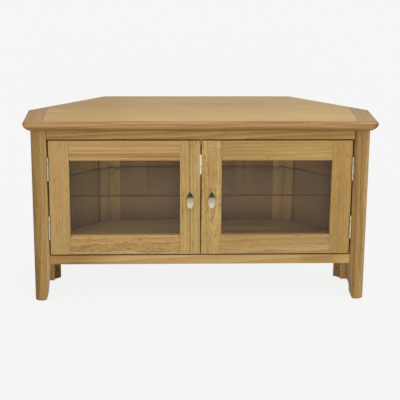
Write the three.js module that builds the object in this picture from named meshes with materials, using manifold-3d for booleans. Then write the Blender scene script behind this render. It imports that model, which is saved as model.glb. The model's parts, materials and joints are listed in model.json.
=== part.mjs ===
// Corner television cabinet in oak, with two glazed doors, six legs and a glass shelf.
// Millimetres, +Z up. The doors face -Y, and the origin is on the floor under the middle.
// While it is built, y runs from 0 at the front edge of the top to the back edge.

import * as THREE from "three";
import { mergeVertices } from "three/addons/utils/BufferGeometryUtils.js";
import Module from "manifold-3d";

const wasm = await Module();
wasm.setup();

// Overall sizes
const cabinetWidth = 1080;
const cabinetDepth = 422;
const cabinetHeight = 578;
const cornerCut = 230;
const groundClearance = 121.5;

// Top board and its moulded edge
const topThickness = 28;
const topOverhang = 21;
const backOverhang = 2;
const noseHeight = 9;
const edgeRound = 1.5;
const topCornerRadius = 8;
const topCornerShare = 0.5;
const mouldingInset = 20;
const mouldingBulge = 2.2;
const mouldingSteps = 6;
const lippingDepth = 28;
const endBoardWidth = 57;

// Frame members
const legSize = 48;
const legEdge = 2.5;
const legOuterRound = 8;
const legRoundSteps = 5;
const legTaper = 9;
const footHeight = 16;
const footEdge = 5;
const footInnerEdge = 8;
const footCurveShare = 0.5;
const frameThickness = 22;
const frontTopRailHeight = 27;
const bottomRailHeight = 29;
const wallTopRailHeight = 40;
const middleLegWidth = 48;
const middleLegShoulder = 44;
const angledFrontStileWidth = 27;
const angledRearStileWidth = 38;
const rearLegWidth = 49;
const rearLegGroove = 20;
const rearLegGrooveDepth = 10;
const arris = 1.2;

// Panels, floor and shelf
const panelThickness = 8;
const panelSetback = 1;
const sidePanelThickness = 7;
const sidePanelSetback = 4;
const grooveDepth = 8;
const floorThickness = 15;
const floorSeat = 8;
const cableHoleDiameter = 77;
const cableHoleHeight = 343;
const shelfThickness = 6;
const shelfTop = 341;
const shelfSetback = 25;
const pinDiameter = 5;
const pinReach = 9;
const pinSetback = 12;
const spareHoleDepth = 5;
const spareHoleDrop = 70;
const screwHoleDiameter = 6;
const screwHoleDepth = 4;
const screwHoleHeight = 29;

// Doors
const doorThickness = 22;
const doorGap = 4;
const doorFrameWidth = 62.5;
const glassThickness = 4;
const glassSetback = 9;
const doorGroove = 8;

// Butt hinges
const hingeHeight = 76;
const hingeEndKnuckle = 18;
const hingeInset = 50;
const knuckleRadius = 2.8;
const knuckleStandOut = 1.2;
const hingePinRadius = 1.3;
const hingePinInset = 1;
const leafThickness = 1.5;
const leafWidth = 20;
const leafStart = 0.6;
const hingeRecess = 2;

// Drop-shaped knobs
const knobWidth = 23;
const knobHeight = 49;
const knobProjection = 20.5;
const knobSides = 24;
const knobStemDiameter = 10;
const knobStemHeightShare = 0.62;
const knobStemStartShare = 0.45;
const knobCentreHeight = 332;

// Each outline of a knob from foot to tip: its height and half width as shares of the knob's own,
// and its front and back as shares of the way from the foremost point to the door
const knobShares = [
  [0, 0.15, 0.22, 0.44], [0.03, 0.36, 0.12, 0.5], [0.08, 0.55, 0.06, 0.56], [0.2, 0.81, 0.01, 0.63],
  [0.32, 0.94, 0, 0.67], [0.46, 1, 0, 0.7], [0.58, 0.98, 0, 0.71], [0.68, 0.88, 0.01, 0.72],
  [0.73, 0.8, 0.05, 0.73], [0.76, 0.74, 0.12, 0.74], [0.83, 0.58, 0.29, 0.77], [0.9, 0.39, 0.46, 0.8],
  [0.96, 0.22, 0.61, 0.83], [1, 0.08, 0.7, 0.85],
];

// Magnetic catch and the plates that it holds
const catchWidth = 46;
const catchHeight = 14;
const catchDepth = 12;
const strikeSize = 14;
const strikeThickness = 1.2;
const strikeSpacing = 24;

// Fits
const joint = 0.3;
const shelfClearance = 2;
const overrun = 1;
const roundSides = 20;

// Places worked out from the sizes above
const sideLength = cabinetDepth - cornerCut;
const halfWidth = cabinetWidth / 2;
const bodyFront = topOverhang;
const bodyHalf = halfWidth - topOverhang;
const bodyBack = cabinetDepth - backOverhang;
const angledSum = halfWidth + sideLength - backOverhang * Math.SQRT2;
const middleCorner = angledSum - bodyHalf;
const backHalf = angledSum - bodyBack;
const angledLength = (bodyBack - middleCorner) * Math.SQRT2;
const bodyTop = cabinetHeight - topThickness - joint;
const floorTop = groundClearance + bottomRailHeight;
const wallRailBottom = bodyTop - wallTopRailHeight;
const panelBottom = floorTop - grooveDepth;
const panelTop = wallRailBottom + grooveDepth;
const legInner = bodyHalf - legSize;
const legBack = bodyFront + legSize;
const frameBack = bodyFront + frameThickness;
const doorBottom = floorTop + doorGap;
const doorTop = bodyTop - frontTopRailHeight - doorGap;
const doorHinge = legInner - doorGap;
const doorLock = doorGap / 2;
const doorBack = bodyFront + doorThickness;
const axisAcross = legInner - doorGap / 2;
const axisDepth = bodyFront - knuckleStandOut;
const hingeBottoms = [doorBottom + hingeInset, doorTop - hingeInset - hingeHeight];
const shelfBottom = shelfTop - shelfThickness;
const pinHeight = shelfBottom - joint - pinDiameter / 2;
const middleLegEnd = middleLegShoulder * Math.SQRT2 - frameThickness;
const frontStileEnd = middleLegEnd + joint + angledFrontStileWidth;
const rearStileStart = angledLength - joint - angledRearStileWidth;
const rearLegInner = backHalf - rearLegWidth;
const rearPinAcross = rearLegInner + pinSetback;

const oakColour = 0xb8955e;
const oak = { color: oakColour, roughness: 0.55, metalness: 0 };
const oakDark = { color: 0x9a7647, roughness: 0.6, metalness: 0 };
const glass = { color: 0xb9c4b8, roughness: 0.05, metalness: 0, transparent: true, opacity: 0.35 };
const nickel = { color: 0xc3bda8, roughness: 0.3, metalness: 1 };
const steel = { color: 0xcfc4b2, roughness: 0.35, metalness: 1 };
const plastic = { color: 0xe8e2d2, roughness: 0.5, metalness: 0 };

const xAxis = new THREE.Vector3(1, 0, 0);
const yAxis = new THREE.Vector3(0, 1, 0);
const zAxis = new THREE.Vector3(0, 0, 1);

// Plan places on the left-hand walls: how far along the wall, and how far in from its face
const sidePlace = (along, inward) => [inward - bodyHalf, bodyFront + along];
const backPlace = (along, inward) => [along - backHalf, bodyBack - inward];
const angledPlace = (along, inward) => [
  (along + inward) / Math.SQRT2 - bodyHalf,
  (along - inward) / Math.SQRT2 + middleCorner,
];

function shapeOf(points) {
  return new THREE.Shape(points.map(([x, y]) => new THREE.Vector2(x, y)));
}

// A flat outline pushed out at right angles to its own two axes
function extruded(shape, depth, origin, across, up) {
  const settings = { depth, bevelEnabled: false, curveSegments: roundSides };
  const geometry = new THREE.ExtrudeGeometry(shape, settings);
  const outwards = new THREE.Vector3().crossVectors(across, up);
  const matrix = new THREE.Matrix4().makeBasis(across, up, outwards).setPosition(origin);
  return geometry.applyMatrix4(matrix);
}

function prism(points, bottom, top) {
  return extruded(shapeOf(points), top - bottom, new THREE.Vector3(0, 0, bottom), xAxis, yAxis);
}

// A rail whose section is drawn as (inward, height) and runs between two places on a wall
function rail(section, place, from, to) {
  const start = new THREE.Vector3(...place(from, 0), 0);
  const end = new THREE.Vector3(...place(to, 0), 0);
  const along = end.clone().sub(start).normalize();
  const inward = new THREE.Vector3(...place(from, overrun), 0).sub(start).normalize();
  const outwards = new THREE.Vector3().crossVectors(inward, zAxis);
  const origin = outwards.dot(along) > 0 ? start : end;
  return extruded(shapeOf(section), start.distanceTo(end), origin, inward, zAxis);
}

// Any box between two corners
function block(low, high) {
  const corners = [[low[0], low[1]], [high[0], low[1]], [high[0], high[1]], [low[0], high[1]]];
  return prism(corners, low[2], high[2]);
}

function rod(radius, from, direction, length) {
  const geometry = new THREE.CylinderGeometry(radius, radius, length, roundSides);
  geometry.translate(0, length / 2, 0);
  const turn = new THREE.Quaternion().setFromUnitVectors(yAxis, direction);
  return geometry.applyQuaternion(turn).translate(...from);
}

// A closed skin over outlines that all have the same number of points, lowest first
function loft(levels) {
  const count = levels[0].points.length;
  const places = [];
  for (const { points, height } of levels) {
    for (const [x, y] of points) places.push(x, y, height);
  }
  const faces = [];
  for (let level = 0; level + 1 < levels.length; level += 1) {
    for (let i = 0; i < count; i += 1) {
      const next = (i + 1) % count;
      const low = level * count;
      const high = low + count;
      faces.push(low + i, low + next, high + next, low + i, high + next, high + i);
    }
  }
  const cap = (level) => {
    const outline = levels[level].points.map(([x, y]) => new THREE.Vector2(x, y));
    const flat = THREE.ShapeUtils.triangulateShape(outline, []);
    return flat.map((face) => face.map((i) => i + level * count));
  };
  for (const [a, b, c] of cap(0)) faces.push(a, c, b);
  for (const [a, b, c] of cap(levels.length - 1)) faces.push(a, b, c);
  const geometry = new THREE.BufferGeometry();
  geometry.setAttribute("position", new THREE.Float32BufferAttribute(places, 3));
  geometry.setIndex(faces);
  return geometry;
}

function solidOf(geometry) {
  const bare = geometry.clone();
  bare.deleteAttribute("normal");
  bare.deleteAttribute("uv");
  const merged = mergeVertices(bare);
  const vertProperties = new Float32Array(merged.attributes.position.array);
  const triVerts = new Uint32Array(merged.index.array);
  return new wasm.Manifold(new wasm.Mesh({ numProp: 3, vertProperties, triVerts }));
}

function geometryOf(solid) {
  const mesh = solid.getMesh();
  const geometry = new THREE.BufferGeometry();
  const places = [];
  for (let i = 0; i < mesh.vertProperties.length; i += mesh.numProp) {
    places.push(...mesh.vertProperties.slice(i, i + mesh.numProp));
  }
  geometry.setAttribute("position", new THREE.Float32BufferAttribute(places, 3));
  geometry.setIndex(Array.from(mesh.triVerts));
  return geometry;
}

function cut(geometry, ...cutters) {
  let solid = solidOf(geometry);
  for (const cutter of cutters) solid = solid.subtract(solidOf(cutter));
  return geometryOf(solid);
}

function joined(...geometries) {
  let solid = solidOf(geometries[0]);
  for (const geometry of geometries.slice(1)) solid = solid.add(solidOf(geometry));
  return geometryOf(solid);
}

function common(geometry, other) {
  return geometryOf(solidOf(geometry).intersect(solidOf(other)));
}

// The other hand of a left-hand piece
function mirrored(geometry) {
  const copy = mergeVertices(geometry.clone().deleteAttribute("normal").deleteAttribute("uv"));
  copy.scale(-1, 1, 1);
  const faces = Array.from(copy.index.array);
  for (let i = 0; i < faces.length; i += 3) [faces[i], faces[i + 1]] = [faces[i + 1], faces[i]];
  copy.setIndex(faces);
  return copy;
}

// A rectangle in plan with its four edges taken off, counter-clockwise
function softRectangle([x0, y0], [x1, y1], edge) {
  return [
    [x0 + edge, y0], [x1 - edge, y0], [x1, y0 + edge], [x1, y1 - edge],
    [x1 - edge, y1], [x0 + edge, y1], [x0, y1 - edge], [x0, y0 + edge],
  ];
}

const cabinet = new THREE.Group();
const carcass = new THREE.Group();
cabinet.add(carcass);

function add(group, name, geometry, look) {
  const plain = geometry.index ? geometry.toNonIndexed() : geometry;
  plain.computeVertexNormals();
  const mesh = new THREE.Mesh(plain, new THREE.MeshStandardMaterial(look));
  mesh.name = name;
  group.add(mesh);
}

function addPair(group, name, geometry, look) {
  add(group, name + "_left", geometry, look);
  add(group, name + "_right", mirrored(geometry), look);
}

// Top board: the outline draws in towards the underside along the front and the two short sides,
// a nose, then a convex under-moulding, while the edges against the walls stay upright
function topOutline(inset) {
  const side = halfWidth - inset;
  const radius = Math.max(topCornerRadius - inset * topCornerShare, edgeRound);
  const points = [];
  for (let step = 0; step <= mouldingSteps; step += 1) {
    const angle = Math.PI + (Math.PI / 2) * (step / mouldingSteps);
    points.push([radius - side + radius * Math.cos(angle), inset + radius + radius * Math.sin(angle)]);
  }
  for (let step = 0; step <= mouldingSteps; step += 1) {
    const angle = -Math.PI / 2 + (Math.PI / 2) * (step / mouldingSteps);
    points.push([side - radius + radius * Math.cos(angle), inset + radius + radius * Math.sin(angle)]);
  }
  points.push([side, sideLength + inset]);
  points.push([halfWidth - cornerCut, cabinetDepth]);
  points.push([cornerCut - halfWidth, cabinetDepth]);
  points.push([-side, sideLength + inset]);
  return points;
}

function topBlank() {
  const underside = cabinetHeight - topThickness;
  const mouldingTop = cabinetHeight - noseHeight;
  const levels = [];
  for (let step = 0; step <= mouldingSteps; step += 1) {
    const share = step / mouldingSteps;
    const bulge = mouldingBulge * Math.sin(Math.PI * share);
    levels.push({
      height: underside + (mouldingTop - underside) * share - bulge,
      points: topOutline(mouldingInset * (1 - share) - (step === mouldingSteps ? 0 : bulge * share)),
    });
  }
  levels[0].height = underside;
  levels.push({ height: cabinetHeight - edgeRound, points: topOutline(0) });
  levels.push({ height: cabinetHeight, points: topOutline(edgeRound) });
  return loft(levels);
}

function makeTop() {
  const blank = topBlank();
  const low = cabinetHeight - topThickness - overrun;
  const high = cabinetHeight + overrun;
  const reach = halfWidth + overrun;
  const endInner = halfWidth - endBoardWidth;
  const boardFront = lippingDepth + joint;
  const deep = cabinetDepth + overrun;
  const lipping = block([-reach, -overrun, low], [reach, lippingDepth, high]);
  const centre = block([joint - endInner, boardFront, low], [endInner - joint, deep, high]);
  const end = block([-reach, boardFront, low], [-endInner, deep, high]);
  add(carcass, "top_centre_board", common(blank, centre), oak);
  addPair(carcass, "top_end_board", common(blank, end), oak);
  add(carcass, "top_front_lipping", common(blank, lipping), oak);
}

// Where the knuckles of the hinges lie, the wood on one side of the gap is cut back
function hingeRecesses(inner, outer) {
  return hingeBottoms.map((bottom) => block(
    [inner, bodyFront - overrun, bottom - joint],
    [outer, axisDepth + knuckleRadius + joint, bottom + hingeHeight + joint],
  ));
}

// Front legs: square posts with a well rounded outer edge, tapered on their inner faces below
// the rail, with eased feet
function frontLegLevel(height, taper, edge, innerEdge) {
  const low = [edge - bodyHalf, bodyFront + edge];
  const high = [-legInner - taper - innerEdge, legBack - taper - innerEdge];
  const round = [];
  for (let step = 0; step <= legRoundSteps; step += 1) {
    const angle = Math.PI + (Math.PI / 2) * (step / legRoundSteps);
    round.push([
      low[0] + legOuterRound * (1 + Math.cos(angle)),
      low[1] + legOuterRound * (1 + Math.sin(angle)),
    ]);
  }
  return { height, points: [...round, ...softRectangle(low, high, legEdge).slice(1, -1)] };
}

function makeFrontLegs() {
  const post = loft([
    frontLegLevel(0, legTaper, footEdge, footInnerEdge),
    frontLegLevel(footEdge, legTaper, 0, footInnerEdge * footCurveShare),
    frontLegLevel(footHeight, legTaper, 0, 0),
    frontLegLevel(groundClearance, 0, 0, 0),
    frontLegLevel(bodyTop, 0, 0, 0),
  ]);
  const grooveLow = [...sidePlace(legSize - grooveDepth, sidePanelSetback - joint), panelBottom];
  const grooveHigh = [
    ...sidePlace(legSize + overrun, sidePanelSetback + sidePanelThickness + joint), panelTop,
  ];
  const recesses = hingeRecesses(-legInner - hingeRecess, overrun - legInner);
  addPair(carcass, "front_leg", cut(post, block(grooveLow, grooveHigh), ...recesses), oak);
}

// Middle legs: rebated posts that turn the corner between the straight side and the angled wall
const middleLegFront = middleCorner - bodyFront - middleLegWidth;
const middleLegPlan = [
  sidePlace(middleLegFront, 0),
  sidePlace(middleLegFront, frameThickness),
  [frameThickness - bodyHalf, middleCorner],
  [middleLegShoulder - bodyHalf, middleCorner],
  angledPlace(middleLegEnd, frameThickness),
  angledPlace(middleLegEnd, 0),
  [-bodyHalf, middleCorner],
];

function makeMiddleLegs() {
  const post = prism(middleLegPlan, 0, bodyTop);
  const low = [...sidePlace(middleLegFront - overrun, sidePanelSetback - joint), panelBottom];
  const high = [
    ...sidePlace(middleLegFront + grooveDepth, sidePanelSetback + sidePanelThickness + joint), panelTop,
  ];
  addPair(carcass, "middle_leg", cut(post, block(low, high)), oak);
}

// Rear legs: each turns the corner between the angled wall and the back, with a sunk channel
// inside the corner and a rebate behind for the back panel
const rearLegPlan = [
  backPlace(0, 0),
  backPlace(rearLegWidth, 0),
  backPlace(rearLegWidth, frameThickness),
  backPlace(rearLegWidth - rearLegGroove, frameThickness),
  backPlace(rearLegWidth - rearLegGroove, frameThickness - rearLegGrooveDepth),
  angledPlace(angledLength, frameThickness - rearLegGrooveDepth),
];
const panelRebate = panelSetback + panelThickness + joint;

function makeRearLegs() {
  const post = prism(rearLegPlan, 0, bodyTop);
  const rebateLow = backPlace(rearLegWidth - grooveDepth, panelRebate);
  const rebateHigh = backPlace(rearLegWidth + overrun, -overrun);
  const rebate = block([...rebateLow, panelBottom], [...rebateHigh, panelTop]);
  const holeStart = [-rearPinAcross, bodyBack - frameThickness - overrun, pinHeight - spareHoleDrop];
  const hole = rod(pinDiameter / 2, holeStart, yAxis, spareHoleDepth + overrun);
  const seatStart = [-rearPinAcross, bodyBack - frameThickness - overrun, pinHeight];
  const seat = rod(pinDiameter / 2 + joint, seatStart, yAxis, spareHoleDepth + overrun);
  addPair(carcass, "rear_leg", cut(post, rebate, hole, seat), oak);
}

// Rails of the straight sides, grooved for their panels and rebated for the floor
function rabbetedFoot(outerPoints) {
  const seat = frameThickness - floorSeat;
  const seatHeight = floorTop - floorThickness - joint;
  return [
    [0, groundClearance], [frameThickness, groundClearance],
    [frameThickness, seatHeight], [seat, seatHeight], [seat, floorTop],
    ...outerPoints,
  ];
}

function makeSideWalls() {
  const from = legSize + joint;
  const to = middleLegFront - joint;
  const inner = sidePanelSetback + sidePanelThickness + joint;
  const outer = sidePanelSetback - joint;
  const topSection = [
    [0, wallRailBottom], [outer, wallRailBottom], [outer, panelTop], [inner, panelTop],
    [inner, wallRailBottom], [frameThickness, wallRailBottom], [frameThickness, bodyTop], [0, bodyTop],
  ];
  const footSection = rabbetedFoot([
    [inner, floorTop], [inner, panelBottom], [outer, panelBottom], [outer, floorTop], [0, floorTop],
  ]);
  const panelSection = [
    [sidePanelSetback, panelBottom + joint],
    [sidePanelSetback + sidePanelThickness, panelBottom + joint],
    [sidePanelSetback + sidePanelThickness, panelTop - joint],
    [sidePanelSetback, panelTop - joint],
  ];
  const panelFrom = legSize - grooveDepth + joint;
  const panelTo = middleLegFront + grooveDepth - joint;
  addPair(carcass, "side_top_rail", rail(topSection, sidePlace, from, to), oak);
  addPair(carcass, "side_bottom_rail", rail(footSection, sidePlace, from, to), oak);
  addPair(carcass, "side_panel", rail(panelSection, sidePlace, panelFrom, panelTo), oak);
}

// Rails of the angled walls and the back, rebated behind for panels that go in from outside
const rebatedTopSection = [
  [0, panelTop], [panelRebate, panelTop], [panelRebate, wallRailBottom],
  [frameThickness, wallRailBottom], [frameThickness, bodyTop], [0, bodyTop],
];
const rebatedFootSection = rabbetedFoot([
  [panelRebate, floorTop], [panelRebate, panelBottom], [0, panelBottom],
]);
const rebatedPanelSection = [
  [panelSetback, panelBottom + joint], [panelSetback + panelThickness, panelBottom + joint],
  [panelSetback + panelThickness, panelTop - joint], [panelSetback, panelTop - joint],
];

const angledStilePlan = (from, to) => [
  angledPlace(from, 0), angledPlace(to, 0),
  angledPlace(to, frameThickness), angledPlace(from, frameThickness),
];

function angledStile(from, to, rebateFrom, rebateTo) {
  const rebatePlan = [
    angledPlace(rebateFrom, -overrun), angledPlace(rebateTo, -overrun),
    angledPlace(rebateTo, panelRebate), angledPlace(rebateFrom, panelRebate),
  ];
  return cut(prism(angledStilePlan(from, to), 0, bodyTop), prism(rebatePlan, panelBottom, panelTop));
}

function makeAngledWalls() {
  const frontStart = middleLegEnd + joint;
  const rearEnd = angledLength - joint;
  const outward = new THREE.Vector3(-1, 1, 0).normalize();
  const holePlace = angledPlace(frontStart + angledFrontStileWidth / 2, frameThickness + overrun);
  const holeStart = [...holePlace, screwHoleHeight];
  const hole = rod(screwHoleDiameter / 2, holeStart, outward, screwHoleDepth + overrun);
  const frontRebate = [frontStileEnd - grooveDepth, frontStileEnd + overrun];
  const rearRebate = [rearStileStart - overrun, rearStileStart + grooveDepth];
  const front = angledStile(frontStart, frontStileEnd, ...frontRebate);
  const rear = angledStile(rearStileStart, rearEnd, ...rearRebate);
  const from = frontStileEnd + joint;
  const to = rearStileStart - joint;
  const panelFrom = frontStileEnd - grooveDepth + joint;
  const panelTo = rearStileStart + grooveDepth - joint;
  addPair(carcass, "angled_front_stile", cut(front, hole), oak);
  addPair(carcass, "angled_rear_stile", rear, oak);
  addPair(carcass, "angled_top_rail", rail(rebatedTopSection, angledPlace, from, to), oak);
  addPair(carcass, "angled_bottom_rail", rail(rebatedFootSection, angledPlace, from, to), oak);
  addPair(carcass, "angled_panel", rail(rebatedPanelSection, angledPlace, panelFrom, panelTo), oakDark);
}

function makeBack() {
  const width = backHalf * 2;
  const from = rearLegWidth + joint;
  const to = width - rearLegWidth - joint;
  add(carcass, "back_top_rail", rail(rebatedTopSection, backPlace, from, to), oak);
  add(carcass, "back_bottom_rail", rail(rebatedFootSection, backPlace, from, to), oak);
  const reach = rearLegInner + grooveDepth - joint;
  const outline = shapeOf([
    [-reach, panelBottom + joint], [reach, panelBottom + joint],
    [reach, panelTop - joint], [-reach, panelTop - joint],
  ]);
  const hole = new THREE.Path().absarc(0, cableHoleHeight, cableHoleDiameter / 2, 0, Math.PI * 2, true);
  outline.holes.push(hole);
  const origin = new THREE.Vector3(0, bodyBack - panelSetback, 0);
  add(carcass, "back_panel", extruded(outline, panelThickness, origin, xAxis, zAxis), oakDark);
}

// Front rails between the legs
function makeFrontRails() {
  const reach = legInner - joint;
  const frontPlace = (along, inward) => [along, bodyFront + inward];
  const topSection = [
    [arris, bodyTop - frontTopRailHeight], [frameThickness, bodyTop - frontTopRailHeight],
    [frameThickness, bodyTop], [0, bodyTop], [0, bodyTop - frontTopRailHeight + arris],
  ];
  const seat = frameThickness - floorSeat;
  const seatHeight = floorTop - floorThickness - joint;
  const footSection = [
    [arris, groundClearance], [frameThickness, groundClearance], [frameThickness, seatHeight],
    [seat, seatHeight], [seat, floorTop], [arris, floorTop],
    [0, floorTop - arris], [0, groundClearance + arris],
  ];
  add(carcass, "front_top_rail", rail(topSection, frontPlace, -reach, reach), oak);
  add(carcass, "front_bottom_rail", rail(footSection, frontPlace, -reach, reach), oak);
}

// The plan of the cabinet drawn in by one distance on every wall, with its front edge given
function innerPlan(inset, front) {
  const side = bodyHalf - inset;
  const back = bodyBack - inset;
  const sum = angledSum - inset * Math.SQRT2;
  return [
    [-side, front], [side, front], [side, sum - side],
    [sum - back, back], [back - sum, back], [-side, sum - side],
  ];
}

// The same corner posts, grown by a clearance, that the floor and the shelf are notched around
function grown(points, margin) {
  const clockwise = THREE.ShapeUtils.isClockWise(points.map(([x, y]) => new THREE.Vector2(x, y)));
  const ring = clockwise ? [...points].reverse() : points;
  return ring.map((point, i) => {
    const before = ring[(i + ring.length - 1) % ring.length];
    const after = ring[(i + 1) % ring.length];
    const a = new THREE.Vector2(point[0] - before[0], point[1] - before[1]).normalize();
    const b = new THREE.Vector2(after[0] - point[0], after[1] - point[1]).normalize();
    const normalA = new THREE.Vector2(a.y, -a.x);
    const normalB = new THREE.Vector2(b.y, -b.x);
    const along = normalA.clone().add(normalB);
    along.multiplyScalar(margin / (1 + normalA.dot(normalB)));
    return [point[0] + along.x, point[1] + along.y];
  });
}

function postCutters(margin, bottom, top) {
  const legPlan = [
    sidePlace(0, 0), sidePlace(0, legSize), sidePlace(legSize, legSize), sidePlace(legSize, 0),
  ];
  const plans = [
    legPlan, middleLegPlan, angledStilePlan(middleLegEnd, frontStileEnd),
    angledStilePlan(rearStileStart, angledLength), rearLegPlan,
  ];
  const left = plans.map((plan) => prism(grown(plan, margin), bottom - overrun, top + overrun));
  return [...left, ...left.map(mirrored)];
}

function makeFloor() {
  const inset = frameThickness - floorSeat + joint;
  const bottom = floorTop - floorThickness;
  const plate = prism(innerPlan(inset, bodyFront + inset), bottom, floorTop);
  add(carcass, "floor_panel", cut(plate, ...postCutters(joint, bottom, floorTop)), oak);
}

function makeShelf() {
  const inset = sidePanelSetback + sidePanelThickness + shelfClearance;
  const plate = prism(innerPlan(inset, bodyFront + shelfSetback), shelfBottom, shelfTop);
  add(carcass, "glass_shelf", cut(plate, ...postCutters(shelfClearance, shelfBottom, shelfTop)), glass);
  const radius = pinDiameter / 2;
  const frontFrom = [joint - legInner, legBack - pinSetback, pinHeight];
  addPair(carcass, "front_shelf_pin", rod(radius, frontFrom, xAxis, pinReach), nickel);
  const rearFrom = [-rearPinAcross, bodyBack - frameThickness + spareHoleDepth - joint, pinHeight];
  const rearPin = rod(radius, rearFrom, yAxis.clone().negate(), pinReach + spareHoleDepth);
  addPair(carcass, "rear_shelf_pin", rearPin, nickel);
}

// Left-hand door, with a groove round the inside of its frame that holds the glass
const glassFront = bodyFront + glassSetback;
const glassBack = glassFront + glassThickness;

function doorStile(outer, inner) {
  const step = Math.sign(inner - outer);
  const plan = [
    [outer + step * arris, bodyFront], [inner - step * arris, bodyFront], [inner, bodyFront + arris],
    [inner, glassFront - joint], [inner - step * doorGroove, glassFront - joint],
    [inner - step * doorGroove, glassBack + joint], [inner, glassBack + joint],
    [inner, doorBack], [outer, doorBack], [outer, bodyFront + arris],
  ];
  return prism(plan, doorBottom, doorTop);
}

function doorRail(outer, inner) {
  const step = Math.sign(inner - outer);
  const section = [
    [bodyFront, outer + step * arris], [bodyFront + arris, outer], [doorBack, outer], [doorBack, inner],
    [glassBack + joint, inner], [glassBack + joint, inner - step * doorGroove],
    [glassFront - joint, inner - step * doorGroove], [glassFront - joint, inner],
    [bodyFront + arris, inner], [bodyFront, inner - step * arris],
  ];
  const from = joint + doorFrameWidth - doorHinge;
  const to = -doorLock - doorFrameWidth - joint;
  const depthPlace = (along, inward) => [along, inward];
  const bar = rail(section, depthPlace, from, to);
  const solid = inner - step * doorGroove;
  const tongue = block(
    [from - doorGroove, glassFront, Math.min(outer, solid) + joint],
    [to + doorGroove, glassBack, Math.max(outer, solid) - joint],
  );
  return joined(bar, tongue);
}

// A drop-shaped knob: full and rounded below, its pointed tip leaning back to the door
function dropKnob(across) {
  const front = bodyFront - knobProjection;
  const foot = knobCentreHeight - knobHeight / 2;
  const rings = knobShares.map(([height, width, nearShare, farShare]) => {
    const half = (knobWidth / 2) * width;
    const middle = front + knobProjection * ((nearShare + farShare) / 2);
    const deep = knobProjection * ((farShare - nearShare) / 2);
    const points = [];
    for (let i = 0; i < knobSides; i += 1) {
      const angle = Math.PI * 2 * (i / knobSides);
      points.push([across + half * Math.cos(angle), middle + deep * Math.sin(angle)]);
    }
    return { height: foot + knobHeight * height, points };
  });
  const stemFrom = [across, bodyFront - joint, foot + knobHeight * knobStemHeightShare];
  const stemLength = knobProjection * (1 - knobStemStartShare);
  const stem = rod(knobStemDiameter / 2, stemFrom, yAxis.clone().negate(), stemLength);
  return joined(loft(rings), stem);
}

// One butt hinge at the left-hand leg: end knuckles and pin on the leg's leaf, the middle
// knuckle on the door's leaf, with the two leaves folded flat together in the gap
function hingeLeaves(bottom) {
  const top = bottom + hingeHeight;
  const leafBack = bodyFront + leafWidth;
  const plateFront = axisDepth + knuckleRadius + leafStart;
  const legFace = joint - legInner;
  const doorFace = -doorHinge - joint;
  const lowerJoint = bottom + hingeEndKnuckle;
  const upperJoint = top - hingeEndKnuckle;
  const centre = (height) => [-axisAcross, axisDepth, height];
  const legPlate = block([legFace, plateFront, bottom], [legFace + leafThickness, leafBack, top]);
  const legTab = (low, high) =>
    block([legFace, axisDepth, low], [legFace + leafThickness, plateFront + overrun, high]);
  const legLeaf = joined(
    legPlate, legTab(bottom, lowerJoint - joint), legTab(upperJoint + joint, top),
    rod(knuckleRadius, centre(bottom), zAxis, hingeEndKnuckle - joint),
    rod(knuckleRadius, centre(upperJoint + joint), zAxis, hingeEndKnuckle - joint),
    rod(hingePinRadius, centre(bottom + hingePinInset), zAxis, hingeHeight - hingePinInset * 2),
  );
  const doorPlate = block([doorFace - leafThickness, plateFront, bottom], [doorFace, leafBack, top]);
  const doorTab = block(
    [doorFace - leafThickness, axisDepth, lowerJoint],
    [doorFace, plateFront + overrun, upperJoint],
  );
  const knuckle = rod(knuckleRadius, centre(lowerJoint), zAxis, upperJoint - lowerJoint);
  const boreStart = centre(lowerJoint - overrun);
  const bore = rod(hingePinRadius + joint, boreStart, zAxis, hingeHeight - hingeEndKnuckle);
  return { legLeaf, doorLeaf: cut(joined(doorPlate, doorTab, knuckle), bore) };
}

function makeDoor(side) {
  const door = new THREE.Group();
  const hand = side === "left" ? (geometry) => geometry : mirrored;
  const put = (name, geometry, look) => add(door, "door_" + side + "_" + name, hand(geometry), look);
  const hingeStile = doorStile(-doorHinge, doorFrameWidth - doorHinge);
  const recesses = hingeRecesses(-doorHinge - overrun, hingeRecess - doorHinge);
  put("hinge_stile", cut(hingeStile, ...recesses), oak);
  put("lock_stile", doorStile(-doorLock, -doorLock - doorFrameWidth), oak);
  put("top_rail", doorRail(doorTop, doorTop - doorFrameWidth), oak);
  put("bottom_rail", doorRail(doorBottom, doorBottom + doorFrameWidth), oak);
  const grip = doorFrameWidth - doorGroove + joint;
  const pane = block(
    [grip - doorHinge, glassFront, doorBottom + grip],
    [-doorLock - grip, glassBack, doorTop - grip],
  );
  put("glass", pane, glass);
  put("knob", dropKnob(-doorLock - doorFrameWidth / 2), nickel);
  for (const [index, place] of ["lower", "upper"].entries()) {
    const { legLeaf, doorLeaf } = hingeLeaves(hingeBottoms[index]);
    add(carcass, "hinge_" + side + "_" + place + "_leg_leaf", hand(legLeaf), steel);
    add(door, "hinge_" + side + "_" + place + "_door_leaf", hand(doorLeaf), steel);
  }
  const strikeTop = doorTop - doorGap;
  const strike = block(
    [-strikeSpacing / 2 - strikeSize / 2, doorBack + joint, strikeTop - strikeSize],
    [strikeSize / 2 - strikeSpacing / 2, doorBack + joint + strikeThickness, strikeTop],
  );
  put("strike_plate", strike, steel);
  cabinet.add(door);
}

// The catch hangs behind the front top rail and stops both doors flush with the frame
function makeCatch() {
  const front = doorBack + joint + strikeThickness + joint;
  const back = front + catchDepth;
  const half = catchWidth / 2;
  const railBottom = bodyTop - frontTopRailHeight;
  const footTop = railBottom + catchHeight;
  const keeper = block([-half, front, doorTop - doorGap - catchHeight], [half, back, footTop]);
  const foot = block([-half, frameBack + joint, railBottom + joint], [half, front + overrun, footTop]);
  add(carcass, "magnetic_catch", joined(keeper, foot), plastic);
}

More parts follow.
